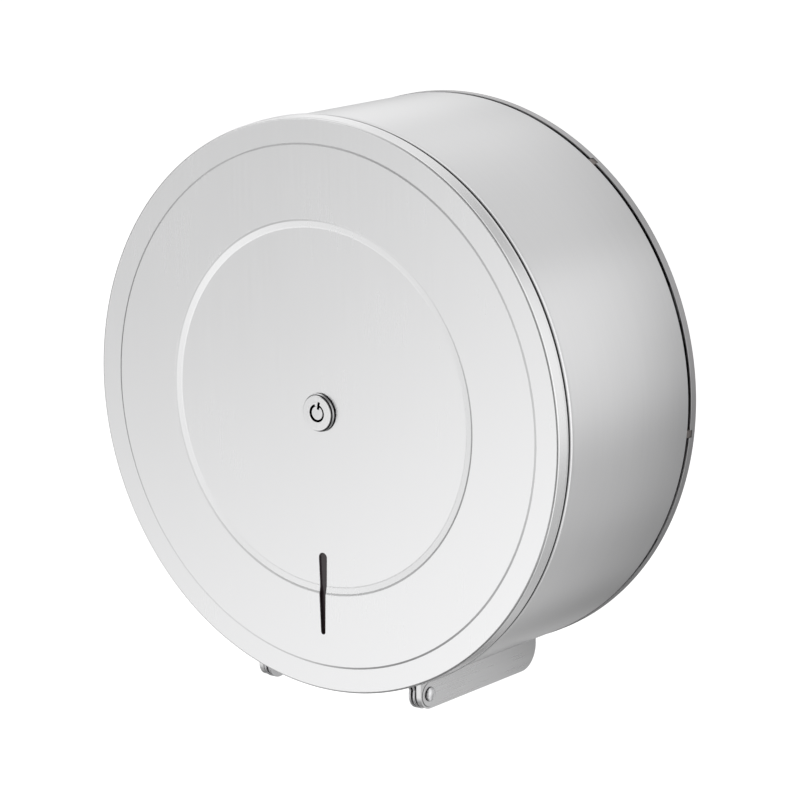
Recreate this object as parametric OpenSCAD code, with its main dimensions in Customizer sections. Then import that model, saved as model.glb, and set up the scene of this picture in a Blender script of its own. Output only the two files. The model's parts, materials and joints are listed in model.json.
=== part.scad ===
// Jumbo toilet roll dispenser: a round steel drum on a wall plate, with a front
// lid that swings down on two rivets, a lock in the middle of the lid and a hub
// that turns with the roll.
//
// Millimetres, +Z up. The wall is the plane y = 0 and the front faces -Y. The
// origin is on the drum's axis. A name that ends in _h is a distance from the
// wall towards the front. Angles around the drum run from +X towards +Z.

/* [Drum and wall plate] */
// Outer radius of the drum and of the wall plate
body_r = 154; // [140:1:175]
// From the wall to the edge of the front face
depth = 126; // [116:1:150]
// Sheet thickness of the wall plate
back_t = 1.2; // [0.8:0.1:2]
// Sheet thickness of the drum
drum_t = 1; // [0.7:0.1:1.5]
// Height of the wall plate's rim
rear_rim = 7.2; // [5:0.1:10]
// Gap between the wall plate's rim and the drum
rear_gap = 1.6; // [0.8:0.1:3]
// Radius of the rolled bead at the drum's front edge
bead_r = 2.6; // [2.2:0.1:3.2]
// How far the bead stands out from the drum
bead_proud = 1.2; // [0.6:0.1:1.6]
// How far the drum's collar reaches into the lid
collar_reach = 4.7; // [2:0.1:5.5]

/* [Wall fixing] */
// Sideways spacing of the wall screw holes
wall_hole_x = 150; // [130:1:170]
// Upright spacing of the wall screw holes
wall_hole_z = 120; // [110:1:140]
// Diameter of a wall screw hole
wall_hole_d = 6.5; // [4:0.1:9]

/* [Lid] */
// Sheet thickness of the lid
lid_t = 1; // [0.8:0.1:1.2]
// Depth of the lid's flange along the drum
flange_w = 7.7; // [7:0.1:10]
// How far the flange flares out towards the drum
flange_flare = 0.7; // [0.2:0.1:1]
// Gap between the lid's flange and the drum's bead
front_gap = 0.8; // [0.5:0.1:1.5]
// Radius of the bend between the face and the flange
lid_bend_r = 0.8; // [0.4:0.1:1.4]
// Width of the flat zone between the drum's radius and the fine step
edge_zone = 13.7; // [13:0.1:22]
// Height of the fine step
step_rise = 1.2; // [0.5:0.1:1.5]
// Width of the fine step's slope
step_slope = 1.2; // [0.6:0.1:2]
// Width of the face between the fine step and the pressed panel
face_zone = 40.9; // [25:0.1:45]
// Depth of the pressed panel
panel_drop = 1; // [0.5:0.1:1.5]
// Width of the pressed panel's sloped wall
panel_slope = 3.4; // [1:0.1:5]

/* [Level slot] */
// How far the slot starts inside the edge of the pressed panel
slot_inset = 20.8; // [18:0.1:30]
// Length of the slot
slot_len = 45; // [30:0.5:46]
// Width of the slot at its upper end
slot_top_w = 5.5; // [4:0.1:8]
// Width of the slot at its lower end
slot_bottom_w = 3; // [2:0.1:4]
// How far the window behind the slot laps past it
window_lap = 5; // [3:0.5:8]
// Thickness of the window
window_t = 1.5; // [1:0.1:2]

/* [Outlet] */
// Clear width between the outlet cheeks
outlet_w = 109; // [90:1:125]
// Thickness of an outlet cheek
cheek_t = 1.5; // [1:0.1:2]
// How far the cheeks reach below the drum
cheek_drop = 16.5; // [15:0.5:24]
// Distance of the cheeks' rear end from the wall
cheek_rear_h = 11; // [10:0.5:20]
// Radius of the cheeks' rear lower corner
cheek_corner_r = 13; // [5:0.5:14]
// Radius of the cheeks' front end around the hinge
cheek_end_r = 8; // [7:0.1:8]
// Arc length of the cheek's wing along the drum, in degrees
wing_deg = 8; // [5:0.5:12]
// Thickness of a tear blade
blade_t = 0.8; // [0.5:0.1:0.8]
// Height of a tear blade
blade_w = 11; // [8:0.5:12]
// Pitch of the blade's teeth
tooth_pitch = 4; // [2:0.5:6]
// Depth of the blade's teeth
tooth_depth = 2; // [1:0.1:3]
// How far the teeth stay above the cheek's lower edge
tooth_guard = 1.5; // [0.5:0.1:3]

/* [Hinge] */
// Distance of the hinge axis behind the lid's rear edge
hinge_back = 11.3; // [10.5:0.1:14]
// Diameter of a hinge pin
pin_d = 4; // [3:0.1:5]
// Diameter of a hinge pin's domed head
pin_head_d = 8; // [6.2:0.1:9]
// Height of the domed head
pin_head_rise = 1.9; // [1:0.1:2.5]
// Radial clearance of the lid's lugs on the pins
pin_clear = 0.06; // [0.02:0.01:0.1]
// Thickness of the washer between lug and cheek
washer_t = 0.6; // [0.4:0.1:1]
// Thickness of each ply of a lug, which is folded double
lug_t = 1.5; // [1:0.1:2]
// Gap between the two plies of a lug
lug_ply_gap = 1.2; // [0.6:0.1:2]
// Radius of a lug's end around the pin
lug_end_r = 8.5; // [7:0.1:8.8]
// Height of a lug's foot on the lid
lug_foot_len = 15; // [12:1:20]
// Width of a lug's foot
lug_foot_w = 14; // [10:1:20]

/* [Lock] */
// Height of the spindle and lock axis above the drum's axis
axis_z = -2; // [-4:0.5:2]
// Radius of the lock's bezel
bezel_r = 10.4; // [9.5:0.1:12]
// How far the bezel stands out from the panel
bezel_rise = 2.9; // [2.5:0.1:5]
// How much the bezel narrows towards its face
bezel_taper = 0.9; // [0.3:0.1:2]
// Radius of the lock's threaded body
lock_body_r = 8; // [7:0.1:8.5]
// Radius of the turning plug
plug_r = 5; // [4.5:0.1:5]
// Radius of the post inside the ring-shaped keyway
key_post_r = 3.6; // [3:0.1:4]
// Depth of the keyway
keyway_depth = 5.6; // [3:0.1:7]
// Width of the notch in the keyway
key_notch_w = 1.7; // [1:0.1:2.2]
// How far the notch reaches out past the keyway
key_notch_out = 1.5; // [0.8:0.1:2]
// Distance from the panel's face to the front of the keeper
lock_reach = 16.6; // [15:0.1:22]
// Length of the cam from end to end
cam_len = 22; // [18:0.5:23]
// Width of the cam
cam_w = 8; // [6:0.5:9]
// Thickness of the cam
cam_t = 2; // [1.5:0.1:2.5]

/* [Keeper] */
// Width and height of the keeper
keeper_w = 30; // [28:0.5:30]
// Depth of the keeper along the axis
keeper_depth = 11.6; // [11:0.1:15]
// Wall thickness of the keeper
keeper_t = 1.5; // [1:0.1:1.5]
// Length of the slot for the cam
cam_slot_len = 25; // [24:0.5:26]
// Width of the slot for the cam
cam_slot_w = 11; // [10.6:0.1:12]

/* [Spindle and hub] */
// Radius of the spindle's post
post_r = 12.5; // [11:0.1:12.5]
// Wall thickness of the post
post_t = 2; // [1.5:0.1:3]
// Radius of the spindle's flange
spindle_flange_r = 52; // [50:1:56]
// Thickness of the spindle's flange
spindle_flange_t = 3; // [2:0.1:4]
// Radius of the circle of studs in the flange
spindle_stud_circle_r = 43; // [42:0.5:44]
// Radial clearance of the hub on the post
hub_clear = 0.08; // [0.02:0.01:0.1]
// Radius of the hub under the roll's core
hub_r = 22; // [20:0.1:24]
// Wall thickness of the hub's sleeves
hub_wall = 2.2; // [1.6:0.1:2.5]
// Radius of the hub's rear collar
hub_collar_r = 34; // [30:0.5:35]
// Thickness of the hub's rear collar
hub_collar_t = 2.5; // [2:0.1:4]
// Number of ribs inside the hub
hub_ribs = 6; // [3:1:10]

/* [Fasteners] */
// Radius of the studs in the wall plate
stud_r = 2; // [1.5:0.1:2.5]
// Width across the flats of the nuts on the studs
nut_af = 7; // [6:0.1:8]

/* [Hidden] */

big_fn = 180;
round_fn = 64;
past = 1;               // how far a cut runs past the face it opens
press_gap = 0.05;       // clearance between pressed parts that are spot-welded
seat_gap = 0.3;         // clearance of a part that rests loosely against another
fold_gap = 0.2;         // side clearance of the hinge
drive_slot_w = 0.9;     // width of the slots in the screw heads
drive_slot_depth = 1;   // depth of the slots in the screw heads

steel = [0.80, 0.80, 0.81];
steel_bright = [0.87, 0.87, 0.88];
zinc = [0.70, 0.71, 0.73];
rubber = [0.16, 0.11, 0.11];
nylon = [0.90, 0.90, 0.88];
hub_grey = [0.36, 0.37, 0.39];
smoke = [0.22, 0.17, 0.18];

// Lid, from the edge of its face inwards
step_ring_r = body_r - edge_zone;
panel_r = step_ring_r - face_zone;
slot_top = panel_r - slot_inset;
lid_rear_h = depth - flange_w;
face_h = depth + step_rise;
panel_h = face_h - panel_drop;
panel_back_h = panel_h - lid_t;
lid_oversize = 0.3;
lid_edge_r = body_r + lid_oversize;
flange_r = lid_edge_r + flange_flare;

// Drum
rim_corner_r = 1.5;
drum_rear_h = rear_rim + rear_gap;
drum_inner_r = body_r - drum_t;
bead_h = lid_rear_h - front_gap - bead_r;
bead_centre_r = body_r + bead_proud - bead_r;
collar_step = 2;
collar_r = body_r - collar_step;
collar_front_h = lid_rear_h + collar_reach;

// Outlet and hinge
cheek_in_x = outlet_w / 2;
cheek_out_x = cheek_in_x + cheek_t;
hem_in_x = cheek_in_x - cheek_t;   // the cheeks are folded double at the hinge
cheek_low_z = -sqrt(body_r * body_r - cheek_out_x * cheek_out_x) - cheek_drop;
hinge_h = lid_rear_h - hinge_back;
hinge_z = cheek_low_z + cheek_end_r;
wing_out_r = drum_inner_r - press_gap;
wing_in_r = wing_out_r - cheek_t;
wing_end_a = asin(cheek_out_x / wing_out_r) + wing_deg;
wing_front_h = bead_h - bead_r - seat_gap;
cheek_top_z = -sqrt(wing_out_r * wing_out_r - cheek_out_x * cheek_out_x);
blade_inset = 3;
blade_front_gap = 4.5;
blade_rear_h = cheek_rear_h + blade_inset;
blade_front_h = hinge_h - lug_end_r - blade_front_gap;
blade_tip_z = cheek_low_z + tooth_guard;

washer_in_x = hem_in_x - washer_t;
lug_out_x = washer_in_x - fold_gap;
lug_in_x = lug_out_x - lug_t * 2 - lug_ply_gap;
pin_in_x = lug_in_x - fold_gap;
pin_tail = 1.5;
pin_tail_r = pin_head_d / 2 - 0.3;
washer_lap = 3.5;
lug_lift = 1.2;         // how far the lugs and their feet stay above the flange
lug_low_z = -sqrt(pow(lid_edge_r - lid_t, 2) - pow(lug_out_x, 2)) + lug_lift;
lug_neck_h = lid_rear_h - 0.7;
lug_heel = 5;

// Spindle, from the wall outwards
spindle_top_h = back_t + spindle_flange_t;
thrust_t = 1.3;
thrust_lap = 5.5;
post_plug = 9;          // thickness of the post's closed front end
keeper_screw_z = 8;
keeper_screw_len = 7.5;
keeper_head_r = 3.6;
keeper_head_h = 2.2;
hub_rear_h = spindle_top_h + thrust_t + seat_gap;
hub_bore_r = post_r + hub_clear;
keeper_front_h = panel_h - lock_reach;
keeper_rear_h = keeper_front_h - keeper_depth;
hub_front_h = keeper_rear_h - seat_gap;
spindle_stud_rise = 4.8;
spindle_stud_top_h = spindle_top_h + spindle_stud_rise;
hub_collar_h = spindle_stud_top_h;
hub_collar_top_h = hub_collar_h + hub_collar_t;
hub_nose = 5;          // length of the tapered end that a roll's core slides over
hub_lip = 0.5;
hub_rib_t = 1.8;

// Lock, from the keeper outwards
cam_gap = 0.7;
cam_front_h = keeper_front_h - keeper_t - cam_gap;
cam_rear_h = cam_front_h - cam_t;
lock_body_gap = 0.9;
lock_body_rear_h = keeper_front_h + lock_body_gap;
bezel_h = panel_h + bezel_rise;
bezel_foot = 0.6;
bezel_edge_r = 0.4;
plug_clear = 0.08;
plug_sink = 0.4;
plug_bore_r = plug_r + plug_clear;
plug_face_h = bezel_h - plug_sink;
post_notch_depth = 1.6;
lock_hole_clear = 0.1;
keyway_floor_h = plug_face_h - keyway_depth;
lock_washer_t = 1;
lock_nut_t = 5;
lock_nut_af = 22;
cam_screw_r = 1.5;
cam_screw_len = 6;
cam_head_r = 3;
cam_head_h = 2;

// Brackets that carry the drum, and the rubber spacers in the rear gap
bracket_angles = [20, 70, 110, 160, 215, 325];
bracket_deg = 7;
bracket_t = 1.5;
bracket_foot_len = 14;
bracket_leg_lap = 13;   // how far a bracket reaches into the drum
bracket_stud_inset = 8.2;
bracket_out_r = body_r - max(back_t, drum_t) - press_gap;
bracket_in_r = bracket_out_r - bracket_t;
bracket_foot_r = bracket_out_r - bracket_foot_len;
bracket_leg_h = drum_rear_h + bracket_leg_lap;
bracket_stud_r = bracket_out_r - bracket_stud_inset;
stud_rise = 5.5;
nut_h = 3;
nut_flange_h = 0.8;
nut_flange_lap = 1;
nut_flange_r = nut_af / 2 + nut_flange_lap;
spacer_angles = [-6.3, 53.4, 126.6, 186.3];
spacer_w = 4.2;
spacer_key = 3.6;
spacer_in_r = bracket_in_r - 1;

buffer_r = 4;
buffer_ring_r = collar_r - buffer_r + 0.4;

// Points of an arc, from angle a0 to angle a1
function arc(cx, cy, r, a0, a1, n = 8) =
    [for (i = [0:n]) [cx + r * cos(a0 + (a1 - a0) * i / n), cy + r * sin(a0 + (a1 - a0) * i / n)]];

// Turns a (radius, height) outline around the drum's axis
module turned(deg = 360, start = 0, fn = big_fn)
    rotate([90, 0, 0]) rotate([0, 0, start]) rotate_extrude(angle = deg, convexity = 8, $fn = fn) children();

// A ring between two radii and two heights on the drum's axis
module ring(r_in, r_out, h0, h1, fn = big_fn)
    turned(fn = fn) translate([r_in, h0]) square([r_out - r_in, h1 - h0]);

// A round bar along the drum's axis, at (x, z)
module bar(r, h0, h1, x = 0, z = 0, fn = round_fn)
    translate([x, -h0, z]) rotate([90, 0, 0]) cylinder(h = h1 - h0, r = r, $fn = fn);

// A block given by its limits across, along the axis and upright
module block(x, h, z)
    translate([x[0], -h[1], z[0]]) cube([x[1] - x[0], h[1] - h[0], z[1] - z[0]]);

// A flat plate with a (height, z) outline, between two distances from the middle
module side_plate(x0, x1)
    translate([x1, 0, 0]) rotate([90, 0, -90]) linear_extrude(height = x1 - x0, convexity = 4) children();

// Puts its children on the common axis of the spindle and the lock
module on_axis() translate([0, 0, axis_z]) children();

// Copies its children at each angle around the drum's axis
module around(angles) for (a = angles) rotate([0, -a, 0]) children();

// ---- wall plate and what it carries ----

module wall_holes(r, h0, h1)
    for (x = [-1, 1], z = [-1, 1]) bar(r, h0, h1, x * wall_hole_x / 2, z * wall_hole_z / 2);

module bracket_bars(r, h0, h1, fn = round_fn) around(bracket_angles) bar(r, h0, h1, bracket_stud_r, 0, fn);

module spindle_bars(r, h0, h1, fn = round_fn)
    on_axis() around([45:90:315]) bar(r, h0, h1, spindle_stud_circle_r, 0, fn);

module back_plate() color(steel) difference() {
    turned() difference() {
        polygon(concat([[0, 0]], arc(body_r - rim_corner_r, rim_corner_r, rim_corner_r, -90, 0),
                       [[body_r, rear_rim], [0, rear_rim]]));
        translate([-past, back_t]) square([body_r - back_t + past, rear_rim]);
    }
    wall_holes(wall_hole_d / 2, -past, back_t + past);
    bracket_bars(stud_r, -past, back_t + past);
    spindle_bars(stud_r, -past, back_t + past);
    around(spacer_angles)
        block([spacer_in_r, body_r + past], [rear_rim - spacer_key, rear_rim + past],
              [-spacer_w / 2, spacer_w / 2]);
}

module bracket_studs() color(zinc) bracket_bars(stud_r, 0, back_t + bracket_t + stud_rise);

module spindle_studs() color(zinc) spindle_bars(stud_r, 0, spindle_stud_top_h);

module flange_nut(h0) difference() {
    union() {
        bar(nut_flange_r, h0, h0 + nut_flange_h);
        bar(nut_af / 2 / cos(30), h0, h0 + nut_flange_h + nut_h, fn = 6);
    }
    bar(stud_r, h0 - past, h0 + nut_flange_h + nut_h + past);
}

module bracket_nuts() color(zinc)
    around(bracket_angles) translate([bracket_stud_r, 0, 0]) flange_nut(back_t + bracket_t);

module spindle_nuts() color(zinc)
    on_axis() around([45:90:315]) translate([spindle_stud_circle_r, 0, 0]) flange_nut(spindle_top_h);

// Angle brackets: the foot is bolted to the wall plate, the leg is welded inside the drum
module drum_brackets() color(steel) difference() {
    for (a = bracket_angles) turned(bracket_deg, a - bracket_deg / 2) polygon([
        [bracket_foot_r, back_t], [bracket_out_r, back_t], [bracket_out_r, bracket_leg_h],
        [bracket_in_r, bracket_leg_h], [bracket_in_r, back_t + bracket_t],
        [bracket_foot_r, back_t + bracket_t]]);
    bracket_bars(stud_r + press_gap, 0, back_t + bracket_t + past);
}

// Rubber blocks keyed into the rim, which keep the drum off the wall plate
module gap_spacers() color(rubber) around(spacer_angles)
    intersection() {
        block([spacer_in_r, body_r + past], [rear_rim - spacer_key, drum_rear_h],
              [-spacer_w / 2, spacer_w / 2]);
        ring(0, body_r - press_gap, 0, drum_rear_h);
    }

// ---- drum and outlet ----

module drum_shell() color(steel) difference() {
    turned() {
        translate([drum_inner_r, drum_rear_h]) square([drum_t, bead_h - drum_rear_h]);
        translate([bead_centre_r, bead_h]) circle(r = bead_r, $fn = round_fn);
        translate([collar_r - drum_t, bead_h]) square([drum_t, collar_front_h - bead_h]);
    }
    block([-cheek_out_x - press_gap, cheek_out_x + press_gap], [0, depth], [-body_r - bead_r, 0]);
}

module hinge_hole(r, x0, x1) translate([x0, -hinge_h, hinge_z]) rotate([0, 90, 0])
    cylinder(h = x1 - x0, r = r, $fn = round_fn);

// Across: the upright plate bends outwards into a wing that follows the drum
module cheek_profile() polygon(concat(
    [[cheek_in_x, cheek_low_z]],
    arc(0, 0, wing_in_r, asin(cheek_in_x / wing_in_r) - 90, wing_end_a - 90),
    arc(0, 0, wing_out_r, wing_end_a - 90, asin(cheek_out_x / wing_out_r) - 90),
    [[cheek_out_x, cheek_low_z]]));

// From the side: a rounded rear corner, and a front end that is round about the hinge
module cheek_outline() polygon(concat(
    [[cheek_rear_h, 0]],
    arc(cheek_rear_h + cheek_corner_r, cheek_low_z + cheek_corner_r, cheek_corner_r, 180, 270, 12),
    arc(hinge_h, hinge_z, cheek_end_r, 270, 360, 16),
    [[hinge_h + cheek_end_r, cheek_top_z], [wing_front_h, cheek_top_z], [wing_front_h, 0]]));

// The sheet is folded back over itself around the hinge
module hem_outline() polygon(concat(
    arc(hinge_h, hinge_z, cheek_end_r, 180, 360, 32),
    [[hinge_h + cheek_end_r, cheek_top_z], [hinge_h - cheek_end_r, cheek_top_z]]));

// A side wall of the outlet; its wing is welded inside the drum
module outlet_cheek_right() color(steel_bright) difference() {
    union() {
        intersection() {
            rotate([90, 0, 0]) linear_extrude(height = depth) cheek_profile();
            side_plate(0, body_r) cheek_outline();
        }
        side_plate(hem_in_x, cheek_in_x) hem_outline();
    }
    hinge_hole(pin_d / 2, hem_in_x - past, cheek_out_x + past);
}

module outlet_cheek_left() mirror([1, 0, 0]) outlet_cheek_right();

module blade_outline() {
    teeth = floor((blade_front_h - blade_rear_h) / tooth_pitch);
    start = (blade_front_h + blade_rear_h - teeth * tooth_pitch) / 2;
    polygon(concat(
        [[blade_rear_h, blade_tip_z + blade_w], [blade_rear_h, blade_tip_z + tooth_depth]],
        [for (i = [0:teeth - 1], p = [[0, tooth_depth], [0.5, 0]])
            [start + (i + p[0]) * tooth_pitch, blade_tip_z + p[1]]],
        [[start + teeth * tooth_pitch, blade_tip_z + tooth_depth],
         [blade_front_h, blade_tip_z + tooth_depth], [blade_front_h, blade_tip_z + blade_w]]));
}

module tear_blade_right() color(zinc) side_plate(cheek_in_x - blade_t, cheek_in_x) blade_outline();

module tear_blade_left() mirror([1, 0, 0]) tear_blade_right();

// ---- hinge ----

// A rivet: domed head outside the cheek, flat tail inside the lug
module hinge_pin_right() color(steel_bright) translate([pin_in_x, -hinge_h, hinge_z]) rotate([0, 90, 0])
    rotate_extrude($fn = round_fn) polygon(concat(
        [[0, -pin_tail], [pin_tail_r, -pin_tail], [pin_tail_r, 0], [pin_d / 2, 0],
         [pin_d / 2, cheek_out_x - pin_in_x]],
        [for (a = [0:15:90]) [pin_head_d / 2 * cos(a), cheek_out_x - pin_in_x + pin_head_rise * sin(a)]]));

module hinge_pin_left() mirror([1, 0, 0]) hinge_pin_right();

module hinge_washers() color(nylon) for (side = [0, 1]) mirror([side, 0, 0]) difference() {
    hinge_hole(pin_d / 2 + washer_lap, washer_in_x, hem_in_x);
    hinge_hole(pin_d / 2 + press_gap, washer_in_x - past, hem_in_x + past);
}

// ---- spindle, hub and keeper ----

module spindle_flange() color(zinc) on_axis() difference() {
    ring(post_r, spindle_flange_r, back_t, spindle_top_h);
    translate([0, 0, -axis_z]) spindle_bars(stud_r + press_gap, 0, spindle_top_h + past);
}

module keeper_screw_bars(r, h0, h1) on_axis() for (side = [-1, 1]) bar(r, h0, h1, 0, side * keeper_screw_z);

module spindle_post() color(zinc) difference() {
    on_axis() turned(fn = round_fn) polygon([
        [post_r - post_t, back_t], [post_r, back_t], [post_r, keeper_rear_h], [0, keeper_rear_h],
        [0, keeper_rear_h - post_plug], [post_r - post_t, keeper_rear_h - post_plug]]);
    keeper_screw_bars(stud_r, keeper_rear_h - keeper_screw_len, keeper_rear_h + past);
}

module thrust_washer() color(nylon) on_axis()
    ring(post_r + press_gap, post_r + thrust_lap, spindle_top_h, spindle_top_h + thrust_t, round_fn);

// A slice of square tube: the cam turns behind its slotted front wall
module keeper_bracket() color(steel) on_axis() difference() {
    block([-keeper_w / 2, keeper_w / 2], [keeper_rear_h, keeper_front_h], [-keeper_w / 2, keeper_w / 2]);
    block([-keeper_w / 2 + keeper_t, keeper_w / 2 - keeper_t],
          [keeper_rear_h + keeper_t, keeper_front_h - keeper_t], [-keeper_w, keeper_w]);
    block([-cam_slot_w / 2, cam_slot_w / 2], [keeper_front_h - keeper_t - past, keeper_front_h + past],
          [-cam_slot_len / 2, cam_slot_len / 2]);
    translate([0, 0, -axis_z])
        keeper_screw_bars(stud_r + press_gap, keeper_rear_h - past, keeper_rear_h + keeper_t + past);
}

// A cut across a screw's head, at a height on the drum's axis
module drive_slot(r, h0, h1) block([-r, r], [h0, h1], [-drive_slot_w / 2, drive_slot_w / 2]);

module keeper_screws() color(zinc) {
    head_h = keeper_rear_h + keeper_t;
    difference() {
        union() {
            keeper_screw_bars(stud_r, keeper_rear_h - keeper_screw_len, head_h);
            keeper_screw_bars(keeper_head_r, head_h, head_h + keeper_head_h);
        }
        on_axis() for (side = [-1, 1]) translate([0, 0, side * keeper_screw_z])
            drive_slot(keeper_head_r + past, head_h + keeper_head_h - drive_slot_depth,
                       head_h + keeper_head_h + past);
    }
}

// Two sleeves joined by ribs, with a collar that the roll's core rests against
module roll_hub() color(hub_grey) on_axis() {
    sleeve_r = hub_bore_r + hub_wall;
    core_r = hub_r - hub_wall;
    turned(fn = round_fn) polygon([
        [hub_bore_r, hub_rear_h], [sleeve_r, hub_rear_h], [sleeve_r, hub_collar_h],
        [hub_collar_r, hub_collar_h], [hub_collar_r, hub_collar_top_h], [hub_r, hub_collar_top_h],
        [hub_r, hub_front_h - hub_nose], [core_r + hub_lip, hub_front_h], [core_r, hub_front_h],
        [core_r, hub_collar_top_h], [sleeve_r, hub_collar_top_h], [sleeve_r, hub_front_h],
        [hub_bore_r, hub_front_h]]);
    around([180 / hub_ribs:360 / hub_ribs:359])
        block([sleeve_r - hub_wall / 2, core_r + hub_wall / 2],
              [hub_collar_top_h - hub_collar_t / 2, hub_front_h - hub_nose], [-hub_rib_t / 2, hub_rib_t / 2]);
}

// ---- lid ----

module lid_outline() polygon(concat(
    [[0, panel_back_h], [0, panel_h], [panel_r - panel_slope / 2, panel_h],
     [panel_r + panel_slope / 2, face_h], [step_ring_r - step_slope / 2, face_h],
     [step_ring_r + step_slope / 2, depth]],
    arc(lid_edge_r - lid_bend_r, depth - lid_bend_r, lid_bend_r, 90, 0, 6),
    [[flange_r, lid_rear_h], [flange_r - lid_t, lid_rear_h], [lid_edge_r - lid_t, depth - lid_t],
     [step_ring_r + step_slope / 2 - lid_t / 3, depth - lid_t],
     [step_ring_r - step_slope / 2 - lid_t / 3, face_h - lid_t],
     [panel_r + panel_slope / 2, face_h - lid_t], [panel_r - panel_slope / 2, panel_back_h]]));

// The slot narrows downwards between two round ends, which meet its sides without a corner
module level_slot() {
    r0 = slot_top_w / 2;
    r1 = slot_bottom_w / 2;
    z0 = -slot_top - r0;
    z1 = -slot_top - slot_len + r1;
    lean = asin((r0 - r1) / (z0 - z1));
    translate([0, -panel_back_h + past, 0]) rotate([90, 0, 0])
        linear_extrude(height = face_h - panel_back_h + past * 2) polygon(concat(
            arc(0, z0, r0, -lean, 180 + lean, 16), arc(0, z1, r1, 180 + lean, 360 - lean, 12)));
}

module front_lid() color(steel_bright) difference() {
    turned() lid_outline();
    on_axis() bar(lock_body_r + lock_hole_clear, panel_back_h - past, panel_h + past);
    level_slot();
}

module level_window() color(smoke) block(
    [-slot_top_w / 2 - window_lap, slot_top_w / 2 + window_lap], [panel_back_h - window_t, panel_back_h],
    [-slot_top - slot_len - window_lap, -slot_top + window_lap]);

module lid_buffers() color(rubber) around([45:90:315])
    bar(buffer_r, collar_front_h + seat_gap, depth - lid_t, buffer_ring_r);

// The lug reaches from the lid's face down to the pin, behind the flange's rear edge
module lug_outline() {
    front_h = depth - lid_t;
    back_h = hinge_h - lug_end_r + lug_heel;
    polygon([[front_h, lug_low_z], [lug_neck_h, lug_low_z],
             [hinge_h + lug_end_r * cos(20), hinge_z + lug_end_r * sin(20)],
             [hinge_h, hinge_z], [hinge_h - lug_end_r, hinge_z],
             [back_h, lug_low_z + lug_foot_len - lug_heel], [back_h + lug_heel, lug_low_z + lug_foot_len],
             [front_h, lug_low_z + lug_foot_len]]);
    translate([hinge_h, hinge_z]) circle(r = lug_end_r, $fn = round_fn);
}

// It is folded double along its rear edge, and its foot is welded to the lid
module lid_lug_right() color(steel) {
    foot_h = depth - lid_t - lug_t;
    difference() {
        side_plate(lug_in_x, lug_out_x) lug_outline();
        hinge_hole(pin_d / 2 + pin_clear, lug_in_x - past, lug_out_x + past);
        block([lug_in_x + lug_t, lug_out_x - lug_t], [hinge_h - lug_end_r + lug_t, foot_h],
              [hinge_z - lug_end_r - past, lug_low_z + lug_foot_len + past]);
    }
    block([lug_in_x + lug_t - lug_foot_w, lug_out_x], [foot_h, depth - lid_t],
          [lug_low_z, lug_low_z + lug_foot_len]);
}

module lid_lug_left() mirror([1, 0, 0]) lid_lug_right();

// ---- lock ----

module lock_body() color(steel_bright) on_axis() difference() {
    turned(fn = round_fn) polygon(concat(
        [[plug_bore_r, lock_body_rear_h], [lock_body_r, lock_body_rear_h], [lock_body_r, panel_h],
         [bezel_r, panel_h], [bezel_r, panel_h + bezel_foot]],
        arc(bezel_r - bezel_taper - bezel_edge_r, bezel_h - bezel_edge_r, bezel_edge_r, 20, 90, 4),
        [[plug_bore_r, bezel_h]]));
    block([-key_notch_w / 2, key_notch_w / 2], [keyway_floor_h, bezel_h + past], [0, plug_r + key_notch_out]);
}

module lock_washer() color(zinc) on_axis()
    ring(lock_body_r + press_gap, lock_nut_af / 2, panel_back_h - lock_washer_t, panel_back_h, round_fn);

module lock_nut() color(zinc) on_axis() difference() {
    front_h = panel_back_h - lock_washer_t;
    bar(lock_nut_af / 2 / cos(30), front_h - lock_nut_t, front_h, fn = 6);
    bar(lock_body_r, front_h - lock_nut_t - past, front_h + past);
}

module lock_plug() color(zinc) on_axis() difference() {
    union() {
        bar(plug_r, cam_front_h, keyway_floor_h);
        bar(key_post_r, keyway_floor_h, plug_face_h);
    }
    block([-key_notch_w / 2, key_notch_w / 2], [keyway_floor_h, plug_face_h + past],
          [key_post_r - post_notch_depth, plug_r + past]);
    bar(cam_screw_r, cam_front_h - past, cam_front_h + cam_screw_len + past);
}

module lock_cam() color(zinc) on_axis() difference() {
    cam_end_z = (cam_len - cam_w) / 2;
    union() {
        block([-cam_w / 2, cam_w / 2], [cam_rear_h, cam_front_h], [-cam_end_z, cam_end_z]);
        for (side = [-1, 1]) bar(cam_w / 2, cam_rear_h, cam_front_h, 0, side * cam_end_z);
    }
    bar(cam_screw_r + press_gap, cam_rear_h - past, cam_front_h + past);
}

module cam_screw() color(zinc) on_axis() difference() {
    union() {
        bar(cam_screw_r, cam_rear_h, cam_front_h + cam_screw_len);
        bar(cam_head_r, cam_rear_h - cam_head_h, cam_rear_h);
    }
    drive_slot(cam_head_r + past, cam_rear_h - cam_head_h - past, cam_rear_h - cam_head_h + drive_slot_depth);
}

back_plate();
bracket_studs();
drum_brackets();
bracket_nuts();
gap_spacers();
drum_shell();
outlet_cheek_left();
outlet_cheek_right();
tear_blade_left();
tear_blade_right();
hinge_pin_left();
hinge_pin_right();
hinge_washers();
spindle_flange();
spindle_studs();
spindle_nuts();
spindle_post();
thrust_washer();
keeper_bracket();
keeper_screws();
front_lid();
lid_lug_left();
lid_lug_right();
level_window();
lid_buffers();
lock_body();
lock_washer();
lock_nut();
lock_plug();
lock_cam();
cam_screw();
roll_hub();
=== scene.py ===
import json
import math

import bmesh
import bpy
from mathutils import Matrix, Vector


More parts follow.
